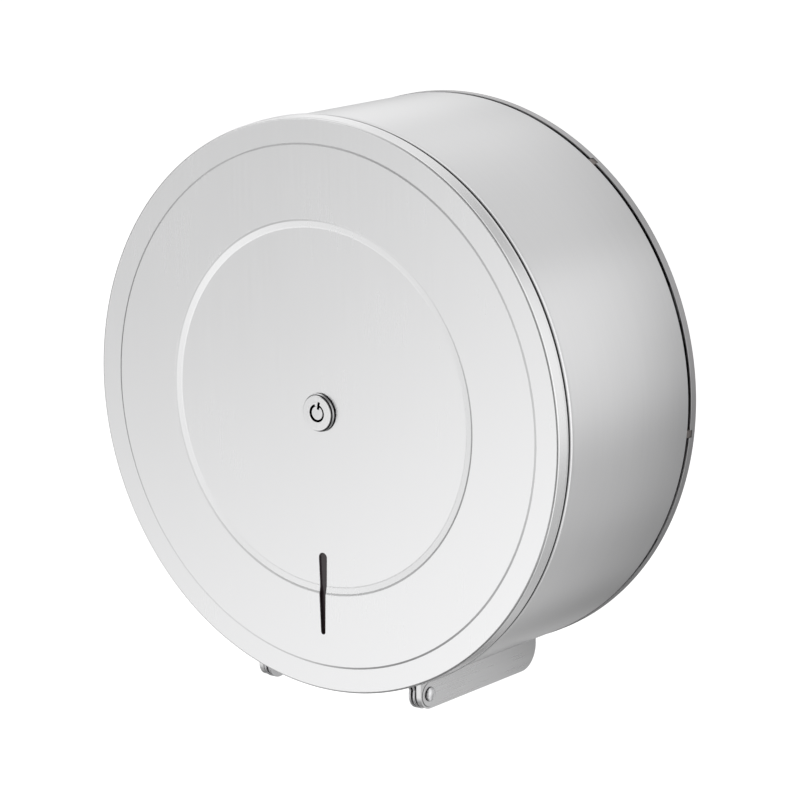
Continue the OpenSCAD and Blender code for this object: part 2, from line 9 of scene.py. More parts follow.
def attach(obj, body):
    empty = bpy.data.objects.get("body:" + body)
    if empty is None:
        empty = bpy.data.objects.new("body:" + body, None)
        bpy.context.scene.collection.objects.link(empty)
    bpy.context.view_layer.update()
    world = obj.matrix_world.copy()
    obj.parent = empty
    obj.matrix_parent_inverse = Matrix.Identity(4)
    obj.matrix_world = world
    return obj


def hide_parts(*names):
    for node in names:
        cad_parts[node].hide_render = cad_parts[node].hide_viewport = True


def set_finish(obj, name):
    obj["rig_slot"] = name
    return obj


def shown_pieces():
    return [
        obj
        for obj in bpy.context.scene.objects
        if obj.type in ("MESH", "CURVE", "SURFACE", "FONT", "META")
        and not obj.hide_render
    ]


# Jumbo toilet roll dispenser. Shapes are given in millimetres and scaled once,
# when a mesh is made. (r, h) is a distance from the drum's axis and a distance
# from the wall towards the front. Angles are in degrees, from +X towards +Z.

MM = 0.001
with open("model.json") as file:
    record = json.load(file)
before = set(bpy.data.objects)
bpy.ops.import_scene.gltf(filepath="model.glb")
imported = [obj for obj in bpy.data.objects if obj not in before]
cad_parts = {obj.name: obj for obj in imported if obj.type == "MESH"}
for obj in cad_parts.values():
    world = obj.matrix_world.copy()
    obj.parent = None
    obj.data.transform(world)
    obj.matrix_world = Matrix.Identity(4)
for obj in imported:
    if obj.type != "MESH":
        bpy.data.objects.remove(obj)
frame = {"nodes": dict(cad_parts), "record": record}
nodes = frame["nodes"]
body_of = {n: b for b, ns in frame["record"]["behaviour"]["bodies"].items() for n in ns}
slot_of = {p["node"]: p["material_slot"] for p in frame["record"]["subparts"]}


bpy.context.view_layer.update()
scene = bpy.context.scene

# ---------------------------------------------------------------- sizes

BODY_R = 154.0
DEPTH = 126.0

# Wall plate, with the notches for the spacers
PLATE_T = 1.2
RIM_R = BODY_R + 0.4
RIM_H = 5.7
RIM_CORNER_R = 1.5
WALL_HOLE_X = 75.0
WALL_HOLE_Z = 60.0
WALL_HOLE_R = 3.25
NOTCH_ANGLES = (-6.3, 53.4, 126.6, 186.3)
NOTCH_IN_R = BODY_R - 7.0
NOTCH_OUT_R = BODY_R + 2.0
NOTCH_HALF_W = 2.1
NOTCH_FLOOR_H = 3.6
NOTCH_PAST_H = 9.0

# Lid: a sunken panel, a face with a crease at either end, a border and a flange
LID_T = 1.0
FACE_H = DEPTH + 1.2
BORDER_H = DEPTH + 0.8
PANEL_H = FACE_H - 1.0
PANEL_BACK_H = PANEL_H - LID_T
STEP_R = BODY_R - 13.7
STEP_SLOPE = 1.2
PANEL_R = STEP_R - 40.9
PANEL_SLOPE = 3.4
PANEL_EASE = 1.0
PANEL_FILLET = 4.0
CREASE_W = 1.1
CREASE_DEPTH = 0.4
INNER_CREASE_R = PANEL_R + 1.2
OUTER_CREASE_R = STEP_R + 0.3
LID_EDGE_R = BODY_R + 0.4
LID_EDGE_FILLET = 1.3
LID_REAR_H = DEPTH - 7.7
FLANGE_R = BODY_R + 1.0
FLANGE_H = LID_REAR_H + 1.5
FLANGE_FILLET = 6.0
SLOT_TOP = PANEL_R - 20.8
SLOT_LEN = 45.0
SLOT_TOP_R = 2.75
SLOT_FOOT_R = 1.5

# Drum, with its bead and the collar that the lid closes over
DRUM_T = 1.0
REAR_GAP = 2.0
FRONT_GAP = 0.8
DRUM_REAR_H = RIM_H + REAR_GAP
BEAD_R = 2.6
BEAD_PROUD = 1.14
BEAD_H = LID_REAR_H - FRONT_GAP - BEAD_R
BEAD_CENTRE_R = BODY_R + BEAD_PROUD - BEAD_R
BEAD_END = 0.6
BEAD_FOOT = 2.2
COLLAR_R = BODY_R - 2.0
COLLAR_FOOT = 2.4
COLLAR_FRONT_H = LID_REAR_H + 4.7

# Outlet and hinge
CHEEK_OUT_X = 56.0
OPEN_X = CHEEK_OUT_X + 0.05
HINGE_H = LID_REAR_H - 11.3
HINGE_Z = -math.sqrt(BODY_R ** 2 - CHEEK_OUT_X ** 2) - 8.5
# The next two place the painted shade along the fold at a cheek's front end: its radius from the hinge and
# its width.
FOLD_SHADE_R = 6.5
FOLD_SHADE_W = 0.5
PIN_R = 2.0
PIN_IN_X = CHEEK_OUT_X - 8.2
PIN_TAIL_R = 3.7
PIN_TAIL_T = 1.5
PIN_HEAD_R = 4.0
PIN_HEAD_T = 1.9
PIN_HEAD_EDGE = 0.25

# Lock
LOCK_AXIS_Z = -2.0
LOCK_BODY_R = 8.0
LOCK_HOLE_GAP = 0.1
LOCK_REAR_H = PANEL_H - 15.7
THREAD_PITCH = 1.0
THREAD_DEPTH = 0.45
BEZEL_R = 10.4
BEZEL_H = PANEL_H + 2.9
PLUG_R = 5.0
PLUG_BORE_R = PLUG_R + 0.08
PLUG_FACE_H = BEZEL_H - 0.4
CAM_FRONT_H = PANEL_H - 18.8
KEYWAY_FLOOR_H = PLUG_FACE_H - 5.6
KEY_POST_R = 3.7
KEY_MOUTH_R = 4.85
KEY_ANGLE = 74.0
KEY_NOTCH_R = 6.4
KEY_NOTCH_HALF_W = 0.75
KEY_TAB_R = 5.3
KEY_TAB_START = 9.0
KEY_TAB_TURN = 21.0

# ---------------------------------------------------------------- mesh tools

TINY = 1e-6
SMOOTH_ANGLE = 35.0
BEVEL_ANGLE = 32.0
BEVEL_SMOOTH_ANGLE = 40.0


def point(r, a, h, z=0.0):
    """A point at radius r, angle a in degrees and height h; z lifts the axis."""
    a = math.radians(a)
    return (r * math.cos(a), -h, r * math.sin(a) + z)


def soften(ob, angle=SMOOTH_ANGLE):
    """Smooth shading, with edges sharper than the angle kept crisp."""
    me = ob.data
    me.shade_smooth()
    me.set_sharp_from_angle(angle=math.radians(angle))


def new_object(name, verts, faces):
    """Makes an object from points in millimetres, joined where they meet."""
    me = bpy.data.meshes.new(name)
    me.from_pydata([tuple(c * MM for c in v) for v in verts], [], faces)
    bm = bmesh.new()
    bm.from_mesh(me)
    bmesh.ops.remove_doubles(bm, verts=bm.verts, dist=1e-7)
    bmesh.ops.recalc_face_normals(bm, faces=bm.faces)
    bm.to_mesh(me)
    bm.free()
    ob = bpy.data.objects.new(name, me)
    scene.collection.objects.link(ob)
    soften(ob)
    return ob


def rounded(corners, grow=1.0):
    """A closed outline from (x, y, fillet) corners, with each fillet as an arc. grow adds points."""
    arc_step, nearly_straight, most_of_side = 12, 0.004, 0.49
    out = []
    count = len(corners)
    for i, (x, y, radius) in enumerate(corners):
        here = Vector((x, y))
        before = Vector(corners[i - 1][:2]) - here
        after = Vector(corners[(i + 1) % count][:2]) - here
        if radius <= 0 or before.length < TINY or after.length < TINY:
            out.append((x, y))
            continue
        u, v = before.normalized(), after.normalized()
        half = u.angle(v) / 2
        if abs(math.pi / 2 - half) < nearly_straight:
            out.append((x, y))
            continue
        reach = min(radius / math.tan(half), before.length * most_of_side, after.length * most_of_side)
        radius = reach * math.tan(half)
        centre = here + (u + v).normalized() * (radius / math.sin(half))
        start, end = here + u * reach - centre, here + v * reach - centre
        turn = start.angle(end)
        steps = max(2, int(math.degrees(turn) / arc_step * grow) + 1)
        for k in range(steps + 1):
            t = k / steps
            p = (start * math.sin((1 - t) * turn) + end * math.sin(t * turn)) / math.sin(turn)
            out.append((centre.x + p.x, centre.y + p.y))
    return out


def held(loop):
    """Adds a point near each end of a long side, so that its shading stays flat."""
    long_side, gap = 1.5, 0.25
    out = []
    for i, (x, y) in enumerate(loop):
        out.append((x, y))
        nx, ny = loop[(i + 1) % len(loop)]
        size = math.hypot(nx - x, ny - y)
        if size > long_side:
            for t in (gap / size, 1 - gap / size):
                out.append((x + (nx - x) * t, y + (ny - y) * t))
    return out


def revolve(name, loop, steps, place=point, span=None):
    """Turns a closed (r, h) outline. span(r) gives the two end angles where the turn isn't full."""
    verts, index = [], []
    loop = held(loop)
    full = span is None
    columns = steps if full else steps + 1
    for r, h in loop:
        row = []
        if r < TINY:
            verts.append(place(0.0, 0.0, h))
            row = [len(verts) - 1] * columns
        else:
            a0, a1 = (0.0, 360.0) if full else span(r)
            for k in range(columns):
                verts.append(place(r, a0 + (a1 - a0) * k / steps, h))
                row.append(len(verts) - 1)
        index.append(row)
    faces = []
    count = len(loop)
    for i in range(count):
        one, two = index[i], index[(i + 1) % count]
        for k in range(steps):
            j = (k + 1) % columns if full else k + 1
            face = []
            for v in (one[k], one[j], two[j], two[k]):
                if v not in face:
                    face.append(v)
            if len(face) > 2:
                faces.append(face)
    if not full:
        faces.append([row[0] for row in index])
        faces.append([row[-1] for row in reversed(index)])
    return new_object(name, verts, faces)


def prism(name, outline, h0, h1):
    """A closed (x, z) outline extruded between two heights."""
    verts = [(x, -h0, z) for x, z in outline] + [(x, -h1, z) for x, z in outline]
    n = len(outline)
    faces = [list(range(n)), list(range(2 * n - 1, n - 1, -1))]
    faces += [[i, (i + 1) % n, n + (i + 1) % n, n + i] for i in range(n)]
    return new_object(name, verts, faces)


def circle(cx, cz, r, steps):
    """A closed (x, z) outline of a circle."""
    turns = [math.tau * k / steps for k in range(steps)]
    return [(cx + r * math.cos(a), cz + r * math.sin(a)) for a in turns]


def apply_modifiers(ob):
    """Puts what the modifiers make into the object's mesh."""
    depsgraph = bpy.context.evaluated_depsgraph_get()
    depsgraph.update()
    me = bpy.data.meshes.new_from_object(ob.evaluated_get(depsgraph))
    ob.modifiers.clear()
    old = ob.data
    ob.data = me
    bpy.data.meshes.remove(old)


def join(obs):
    """Puts the meshes of several objects into the first one."""
    bm = bmesh.new()
    for ob in obs:
        bm.from_mesh(ob.data)
    bm.to_mesh(obs[0].data)
    bm.free()
    for ob in obs[1:]:
        old = ob.data
        bpy.data.objects.remove(ob)
        bpy.data.meshes.remove(old)
    return obs[0]


def cut(ob, cutters):
    """Cuts the cutters, which don't touch each other, out of ob."""
    tool = join(cutters)
    m = ob.modifiers.new("cut", "BOOLEAN")
    m.operation, m.solver, m.object = "DIFFERENCE", "EXACT", tool
    apply_modifiers(ob)
    old = tool.data
    bpy.data.objects.remove(tool)
    bpy.data.meshes.remove(old)
    soften(ob)


def weighted(ob):
    """Lets the large faces set the shading beside a narrow bevel."""
    m = ob.modifiers.new("normals", "WEIGHTED_NORMAL")
    m.keep_sharp = True
    m.weight = 80
    apply_modifiers(ob)


def dress(ob, *names):
    """Fits a finished piece over the CAD nodes it stands for."""
    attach(ob, body_of[names[0]])
    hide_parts(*names)
    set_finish(ob, slot_of[names[0]])


def refined(node, name, width):
    """A copy of a CAD node whose edges are rounded as the real sheet and bar edges are."""
    me = nodes[node].data.copy()
    me.name = name
    me.materials.clear()
    bm = bmesh.new()
    bm.from_mesh(me)
    bmesh.ops.remove_doubles(bm, verts=bm.verts, dist=2e-7)
    bmesh.ops.dissolve_limit(bm, angle_limit=math.radians(0.4), verts=bm.verts, edges=bm.edges)
    sharp = math.radians(BEVEL_ANGLE)
    edges = [e for e in bm.edges if len(e.link_faces) == 2 and e.calc_face_angle(0) > sharp]
    bmesh.ops.bevel(bm, geom=edges, offset=width * MM, offset_type="OFFSET", segments=2,
                    profile=0.5, affect="EDGES", clamp_overlap=True)
    bm.normal_update()
    bm.to_mesh(me)
    bm.free()
    ob = bpy.data.objects.new(name, me)
    scene.collection.objects.link(ob)
    soften(ob, BEVEL_SMOOTH_ANGLE)
    weighted(ob)
    dress(ob, node)


# ---------------------------------------------------------------- materials

materials = {}
MIX_A, MIX_B, MIX_RESULT = 6, 7, 2  # the colour sockets of a Mix node


def inputs(node, **values):
    """Sets sockets by name, with _ for a space."""
    for key, value in values.items():
        node.inputs[key.replace("_", " ")].default_value = value


def material(name):
    """Makes a material, kept under its name. Returns its tree, its shader and the tree's link."""
    mat = bpy.data.materials.new(name)
    mat.use_nodes = True
    materials[name] = mat
    tree = mat.node_tree
    return tree, tree.nodes["Principled BSDF"], tree.links.new


def arithmetic(tree, kind, a, b=None):
    """A Math node on numbers or outputs."""
    n = tree.nodes.new("ShaderNodeMath")
    n.operation = kind
    for socket, value in zip(n.inputs, (a, b)):
        if value is None:
            continue
        if isinstance(value, (int, float)):
            socket.default_value = value
        else:
            tree.links.new(value, socket)
    return n.outputs[0]


def plus(tree, a, b):
    return arithmetic(tree, "ADD", a, b)


def times(tree, a, b):
    return arithmetic(tree, "MULTIPLY", a, b)


def inverse(tree, a):
    return arithmetic(tree, "SUBTRACT", 1.0, a)


def distance(tree, a, b):
    return arithmetic(tree, "SQRT", plus(tree, times(tree, a, a), times(tree, b, b)))


def spread(tree, value, low, high, from_low=0.3, from_high=0.7, smooth=False):
    """Maps a value to a range. A noise value lies mostly between 0.3 and 0.7."""
    n = tree.nodes.new("ShaderNodeMapRange")
    if smooth:
        n.interpolation_type = "SMOOTHSTEP"
    inputs(n, From_Min=from_low, From_Max=from_high, To_Min=low, To_Max=high)
    tree.links.new(value, n.inputs["Value"])
    return n.outputs["Result"]


def band(tree, value, low, high, soft):
    """1 between low and high, in millimetres, and 0 beyond soft more."""
    rise = spread(tree, value, 0.0, 1.0, (low - soft) * MM, low * MM)
    fall = spread(tree, value, 1.0, 0.0, high * MM, (high + soft) * MM)
    return times(tree, rise, fall)


def object_coords(tree):
    """The CAD frame's own coordinates, in metres."""
    return tree.nodes.new("ShaderNodeTexCoord").outputs["Object"]


def split(tree, coords):
    """The outputs x, y and z of coordinates."""
    n = tree.nodes.new("ShaderNodeSeparateXYZ")
    tree.links.new(coords, n.inputs[0])
    return n.outputs


def stretched(tree, coords, scale):
    """Coordinates scaled per axis, which stretches a grain."""
    n = tree.nodes.new("ShaderNodeMapping")
    n.inputs["Scale"].default_value = scale
    tree.links.new(coords, n.inputs["Vector"])
    return n.outputs["Vector"]


def around_axis(tree, coords):
    """Arc length around the drum's axis, distance along it, and radius, in metres."""
    x, y, z = split(tree, coords)
    arc = times(tree, arithmetic(tree, "ARCTAN2", x, z), BODY_R * MM)
    n = tree.nodes.new("ShaderNodeCombineXYZ")
    for value, socket in zip((arc, y, distance(tree, x, z)), n.inputs):
        tree.links.new(value, socket)
    return n.outputs[0]


def radius_and_height(tree, coords, axis_z=0.0):
    """Distance from a level axis at height axis_z and distance from the wall, in metres."""
    x, y, z = split(tree, coords)
    z = arithmetic(tree, "SUBTRACT", z, axis_z * MM)
    return distance(tree, x, z), times(tree, y, -1.0)


def noise(tree, vector, scale, detail, rough):
    """A Noise Texture's value."""
    n = tree.nodes.new("ShaderNodeTexNoise")
    inputs(n, Scale=scale, Detail=detail, Roughness=rough)
    tree.links.new(vector, n.inputs["Vector"])
    return n.outputs["Fac"]


def tinted(tree, factor, a, b):
    """A colour from a to b. b may be another node's output."""
    n = tree.nodes.new("ShaderNodeMix")
    n.data_type = "RGBA"
    n.inputs[MIX_A].default_value = tuple(a) + (1.0,)
    if isinstance(b, bpy.types.NodeSocket):
        tree.links.new(b, n.inputs[MIX_B])
    else:
        n.inputs[MIX_B].default_value = tuple(b) + (1.0,)
    tree.links.new(factor, n.inputs["Factor"])
    return n.outputs[MIX_RESULT]


def bumped(tree, shader, height, strength, depth):
    """Gives a shader a bump of the given depth in metres."""
    n = tree.nodes.new("ShaderNodeBump")
    inputs(n, Strength=strength, Distance=depth)
    tree.links.new(height, n.inputs["Height"])
    tree.links.new(n.outputs[0], shader.inputs["Normal"])


# Painted shade: each of these is 1 where the metal keeps its colour, and less along a dark line or in a dark
# corner that the photograph shows, so that shade is painted into the colour there.


def lock_painted_shade(tree, coords):
    """Painted shade: dark down in the keyway and in the two grooves around the bezel."""
    r, h = radius_and_height(tree, coords, LOCK_AXIS_Z)
    mouth_r, rim_r = 7.2, BEZEL_R - 1.15
    deep = times(tree, band(tree, r, -1.0, mouth_r, 0.1),
                 band(tree, h, KEYWAY_FLOOR_H - 0.2, PLUG_FACE_H - 0.25, 0.1))
    side = band(tree, r, rim_r, BEZEL_R + 1.0, 0.05)
    front = times(tree, side, band(tree, h, BEZEL_H - 1.05, BEZEL_H - 0.4, 0.12))
    base = times(tree, side, band(tree, h, PANEL_H - 0.3, PANEL_H + 0.85, 0.15))
    dark = arithmetic(tree, "MAXIMUM", deep, arithmetic(tree, "MAXIMUM", front, base))
    return inverse(tree, arithmetic(tree, "MINIMUM", dark, 1.0))


def rivet_painted_shade(tree, coords):
    """Painted shade: dark in the narrow groove under the rivet's head."""
    out = arithmetic(tree, "ABSOLUTE", split(tree, coords)[0])
    groove_end, bright_from = CHEEK_OUT_X + 0.4, CHEEK_OUT_X + 0.75
    return spread(tree, out, 0.0, 1.0, groove_end * MM, bright_from * MM)


def crest_painted_shade(tree, coords):
    """Painted shade: dark on the outer half of the bead's crest, in the narrow gap below the lid's edge."""
    r, h = radius_and_height(tree, coords)
    darkest = 0.92
    crest = spread(tree, h, 0.0, darkest, (BEAD_H + 1.4) * MM, (BEAD_H + 1.8) * MM)
    outside = spread(tree, r, 0.0, 1.0, (BEAD_CENTRE_R - 0.3) * MM, (BEAD_CENTRE_R + 0.1) * MM)
    return inverse(tree, times(tree, crest, outside))


def corner_painted_shade(tree, coords):
    """Painted shade: darker in the corner of the wall plate, behind the gap at the drum's rear edge."""
    r, h = radius_and_height(tree, coords)
    shade_strength, in_r, out_r = 0.6, 146.5, BODY_R - 1.35
    corner = times(tree, band(tree, r, in_r, out_r, 0.3), band(tree, h, 1.0, 10.0, 0.5))
    return inverse(tree, times(tree, corner, shade_strength))


def fold_painted_shade(tree, coords):
    """Painted shade: dark along the line where a cheek's front end is folded round."""
    x, y, z = split(tree, coords)
    y = plus(tree, y, HINGE_H * MM)
    z = arithmetic(tree, "SUBTRACT", z, HINGE_Z * MM)
    darkest, fade_from, fade_to = 0.85, -5.0, 1.0
    line = times(tree, band(tree, distance(tree, y, z), FOLD_SHADE_R, FOLD_SHADE_R + FOLD_SHADE_W, 0.15),
                 spread(tree, y, darkest, 0.0, fade_from * MM, fade_to * MM))
    outside = spread(tree, arithmetic(tree, "ABSOLUTE", x), 0.0, 1.0, (CHEEK_OUT_X - 0.3) * MM,
                     (CHEEK_OUT_X - 0.1) * MM)
    return inverse(tree, times(tree, line, outside))


# The near-black colour that the painted shade mixes into the metal.
SHADE_COLOR = (0.006, 0.005, 0.007)


def brushed(name, color, rough, grain, turned=False, depth=0.000012, tone=0.035, worn=0.03, shade=None):
    """Brushed metal: fine grain, broader streaks and soft smudges. grain is the scale per axis, and
    turned lays it around the drum. depth is the grain's, in metres. tone and worn are how far the
    colour and the roughness vary. shade is one of the painted-shade functions above."""
    tree, shader, link = material(name)
    coords = object_coords(tree)
    base = around_axis(tree, coords) if turned else coords
    fine = noise(tree, stretched(tree, base, grain), 1.0, 3.0, 0.6)
    streak = noise(tree, stretched(tree, base, tuple(g * 0.22 for g in grain)), 1.0, 3.0, 0.55)
    cloud = noise(tree, coords, 16.0, 3.0, 0.55)
    mixed = plus(tree, times(tree, streak, 0.6), times(tree, cloud, 0.4))
    dark = [c * (1 - tone) for c in color]
    light = [min(1.0, c * (1 + tone)) for c in color]
    tint = tinted(tree, spread(tree, mixed, 0.0, 1.0, 0.35, 0.65), dark, light)
    # Painted shade: the colour goes towards SHADE_COLOR where the shade function falls below 1.
    if shade:
        tint = tinted(tree, shade(tree, coords), SHADE_COLOR, tint)
    link(tint, shader.inputs["Base Color"])
    wear = plus(tree, spread(tree, streak, -worn, worn), spread(tree, cloud, -worn, worn))
    link(plus(tree, wear, rough), shader.inputs["Roughness"])
    bumped(tree, shader, fine, 0.6, depth)
    shader.inputs["Metallic"].default_value = 1.0


def moulded(name, dark, light, rough, scale=900.0, depth=0.00003):
    """Rubber or plastic with a fine moulded texture and slow colour variation."""
    tree, shader, link = material(name)
    coords = object_coords(tree)
    fine = noise(tree, coords, scale, 4.0, 0.6)
    cloud = noise(tree, coords, 45.0, 3.0, 0.5)
    link(tinted(tree, spread(tree, cloud, 0.0, 1.0), dark, light), shader.inputs["Base Color"])
    link(plus(tree, spread(tree, cloud, -0.06, 0.06), rough), shader.inputs["Roughness"])
    bumped(tree, shader, fine, 0.5, depth)


brushed("lid_steel", (0.87, 0.87, 0.875), 0.27, (3400.0, 3400.0, 90.0), tone=0.006, worn=0.003,
        depth=0.000001)
brushed("drum_steel", (0.80, 0.80, 0.805), 0.30, (60.0, 3200.0, 10.0), turned=True, tone=0.010,
        worn=0.010, depth=0.000005, shade=crest_painted_shade)
brushed("wall_plate_steel", (0.56, 0.555, 0.56), 0.32, (3000.0, 3000.0, 80.0), tone=0.03,
        shade=corner_painted_shade)
brushed("inner_steel", (0.68, 0.68, 0.69), 0.36, (2600.0, 2600.0, 110.0), tone=0.04,
        shade=corner_painted_shade)
brushed("cheek_steel", (0.78, 0.78, 0.785), 0.28, (2600.0, 60.0, 3000.0), tone=0.012, worn=0.01,
        depth=0.000006, shade=fold_painted_shade)
brushed("blade_steel", (0.72, 0.72, 0.73), 0.24, (2600.0, 90.0, 2600.0), tone=0.03)
brushed("rivet_steel", (0.66, 0.66, 0.67), 0.26, (1500.0, 1500.0, 1500.0), tone=0.03,
        depth=0.000004, shade=rivet_painted_shade)
brushed("zinc_plated_steel", (0.70, 0.71, 0.72), 0.34, (900.0, 900.0, 900.0), tone=0.06)
brushed("lock_chrome", (0.88, 0.88, 0.885), 0.20, (1800.0, 1800.0, 1800.0), tone=0.02, worn=0.015,
        depth=0.000004, shade=lock_painted_shade)
brushed("plug_metal", (0.82, 0.82, 0.83), 0.26, (1600.0, 1600.0, 1600.0), tone=0.03, worn=0.015,
        depth=0.000004, shade=lock_painted_shade)
moulded("spacer_rubber", (0.110, 0.098, 0.092), (0.160, 0.144, 0.137), 0.62)
moulded("washer_nylon", (0.74, 0.73, 0.69), (0.82, 0.81, 0.78), 0.42, 700.0, 0.00001)
moulded("hub_plastic", (0.050, 0.053, 0.057), (0.075, 0.079, 0.084), 0.48, 1100.0, 0.00002)
moulded("smoked_window", (0.022, 0.014, 0.017), (0.034, 0.024, 0.027), 0.12, 300.0, 0.000002)

# ---------------------------------------------------------------- lid


def slot_outline():
    """The level slot as a closed (x, z) outline, round at both ends and narrower at its foot."""
    z0, z1 = -SLOT_TOP - SLOT_TOP_R, -SLOT_TOP - SLOT_LEN + SLOT_FOOT_R
    lean = math.degrees(math.asin((SLOT_TOP_R - SLOT_FOOT_R) / (z0 - z1)))
    ends = ((z0, SLOT_TOP_R, -lean, 180 + lean), (z1, SLOT_FOOT_R, 180 + lean, 360 - lean))
    steps = 20
    out = []
    for z, r, a0, a1 in ends:
        for k in range(steps + 1):
            a = math.radians(a0 + (a1 - a0) * k / steps)
            out.append((r * math.cos(a), z + r * math.sin(a)))
    return out


def on_lock_axis(r, a, h):
    return point(r, a, h, LOCK_AXIS_Z)


def make_lid():
    ps, ss, w, t = PANEL_SLOPE / 2, STEP_SLOPE / 2, CREASE_W / 2, LID_T
    front = [
        (0, PANEL_BACK_H, 0), (0, PANEL_H, 0), (PANEL_R - ps - PANEL_EASE, PANEL_H, PANEL_FILLET),
        (INNER_CREASE_R - w, FACE_H - CREASE_DEPTH, 0.3), (INNER_CREASE_R + w, FACE_H, 0.3),
        (OUTER_CREASE_R - w, FACE_H, 0.3), (OUTER_CREASE_R + w, BORDER_H, 0.3),
        (LID_EDGE_R, BORDER_H, LID_EDGE_FILLET)]
    flange = [
        (FLANGE_R, FLANGE_H, FLANGE_FILLET), (FLANGE_R, LID_REAR_H, 0.3), (FLANGE_R - t, LID_REAR_H, 0.3),
        (LID_EDGE_R - t, DEPTH - t, 0.4)]
    back = [
        (STEP_R + ss - t / 3, DEPTH - t, 0.5), (STEP_R - ss - t / 3, FACE_H - t, 0.5),
        (PANEL_R + ps, FACE_H - t, 1.2), (PANEL_R - ps, PANEL_BACK_H, 1.2)]
    ob = revolve("lid_pan", rounded(front + flange + back, grow=1.6), 360)
    past = 2.0
    lock_hole = circle(0, LOCK_AXIS_Z, LOCK_BODY_R + LOCK_HOLE_GAP, 96)
    cut(ob, [prism("slot_cutter", slot_outline(), PANEL_BACK_H - past, FACE_H + past),
             prism("lock_cutter", lock_hole, PANEL_BACK_H - past, FACE_H + past)])
    dress(ob, "front_lid")


make_lid()

# ---------------------------------------------------------------- drum


def drum_span(r):
    """The drum's two end angles, where the cheeks stand, at radius r."""
    a = math.degrees(math.asin(OPEN_X / r))
    return -90 + a, 270 - a


def bead_arc():
    """The rolled bead as (r, h) points, from the band's outside round to its inside."""
    start = math.degrees(math.asin(math.sqrt(BEAD_R ** 2 - (BODY_R - BEAD_CENTRE_R) ** 2) / BEAD_R))
    first, last = -start, 180 - math.degrees(math.asin(BEAD_END / BEAD_R))
    steps = 36
    out = []
    for k in range(steps + 1):
        a = math.radians(first + (last - first) * k / steps)
        out.append((BEAD_CENTRE_R + BEAD_R * math.cos(a), BEAD_H + BEAD_R * math.sin(a)))
    return out


def make_drum():
    inner = BODY_R - DRUM_T
    collar_in = COLLAR_R - DRUM_T
    bead = [(r, h) for r, h in bead_arc() if not (collar_in < r < COLLAR_R and h > BEAD_H)]
    turn = next(i for i, (r, h) in enumerate(bead) if r <= collar_in and h > BEAD_H)
    outside, inside = ([(r, h, 0) for r, h in part] for part in (bead[:turn], bead[turn:]))
    loop = rounded(
        [(inner, DRUM_REAR_H, 0.1), (BODY_R, DRUM_REAR_H, 0.8)] + outside
        + [(COLLAR_R, BEAD_H + COLLAR_FOOT, 0), (COLLAR_R, COLLAR_FRONT_H, 0.3),
           (collar_in, COLLAR_FRONT_H, 0.3), (collar_in, BEAD_H + BEAD_FOOT, 0)]
        + inside + [(inner, BEAD_H - BEAD_FOOT, 0)])
    dress(revolve("drum_band", loop, 320, span=drum_span), "drum_shell")


make_drum()

# ---------------------------------------------------------------- wall plate


def wall_hole(sx, sz):
    """A cutter for one screw hole; sx and sz are its sides."""
    return prism("hole", circle(sx * WALL_HOLE_X, sz * WALL_HOLE_Z, WALL_HOLE_R, 48), -1, 3)


def spacer_notch(angle):
    """A cutter for the notch that holds a spacer."""
    c, s = math.cos(math.radians(angle)), math.sin(math.radians(angle))
    corners = [(NOTCH_IN_R, -NOTCH_HALF_W), (NOTCH_OUT_R, -NOTCH_HALF_W), (NOTCH_OUT_R, NOTCH_HALF_W),
               (NOTCH_IN_R, NOTCH_HALF_W)]
    return prism("notch", [(u * c - v * s, u * s + v * c) for u, v in corners], NOTCH_FLOOR_H, NOTCH_PAST_H)


def make_back_plate():
    t = PLATE_T
    loop = rounded([(0, 0, 0), (RIM_R, 0, RIM_CORNER_R), (RIM_R, RIM_H, 0.35), (RIM_R - t, RIM_H, 0.35),
                    (RIM_R - t, t, 0.8), (0, t, 0)], grow=1.5)
    ob = revolve("wall_pan", loop, 360)
    holes = [wall_hole(sx, sz) for sx in (-1, 1) for sz in (-1, 1)]
    cut(ob, holes + [spacer_notch(a) for a in NOTCH_ANGLES])
    dress(ob, "back_plate")


make_back_plate()

# ---------------------------------------------------------------- rivets


def make_rivet(side, word):
    """side is 1 for the right rivet and -1 for the left one."""
    def place(r, a, h):
        a = math.radians(a)
        return (side * h, -HINGE_H + r * math.cos(a), HINGE_Z + r * math.sin(a))

    rise = PIN_HEAD_T - PIN_HEAD_EDGE
    steps = 18
    dome = []
    for k in range(steps + 1):
        a = math.radians(90 * k / steps)
        dome.append((PIN_HEAD_R * math.cos(a), CHEEK_OUT_X + PIN_HEAD_EDGE + rise * math.sin(a), 0))
    tail_x = PIN_IN_X - PIN_TAIL_T
    loop = rounded([(0, tail_x, 0), (PIN_TAIL_R, tail_x, 0.35), (PIN_TAIL_R, PIN_IN_X, 0.2),
                    (PIN_R, PIN_IN_X, 0), (PIN_R, CHEEK_OUT_X, 0), (PIN_HEAD_R, CHEEK_OUT_X, 0)] + dome)
    dress(revolve("rivet_" + word, loop, 64, place=place), "hinge_pin_" + word)


make_rivet(1, "right")
make_rivet(-1, "left")

# ---------------------------------------------------------------- lock


def thread(r, h0, h1):
    """The ribbed side of a threaded bar, from h0 to h1."""
    turns = max(1, int((h1 - h0) / THREAD_PITCH))
    step = (h1 - h0) / turns
    root = r - THREAD_DEPTH
    out = []
    for k in range(turns):
        h = h0 + step * k
        out += [(root, h), (root, h + step * 0.12), (r, h + step * 0.5), (r, h + step * 0.62)]
    return out + [(root, h1)]


def key_notch(r0, r1):
    """The straight notch of the keyway, from r0 to r1."""
    c, d = math.cos(math.radians(KEY_ANGLE)), math.sin(math.radians(KEY_ANGLE))
    w = KEY_NOTCH_HALF_W
    corners = ((r0, -w), (r1, -w), (r1, w), (r0, w))
    return [(u * c - v * d, LOCK_AXIS_Z + u * d + v * c) for u, v in corners]


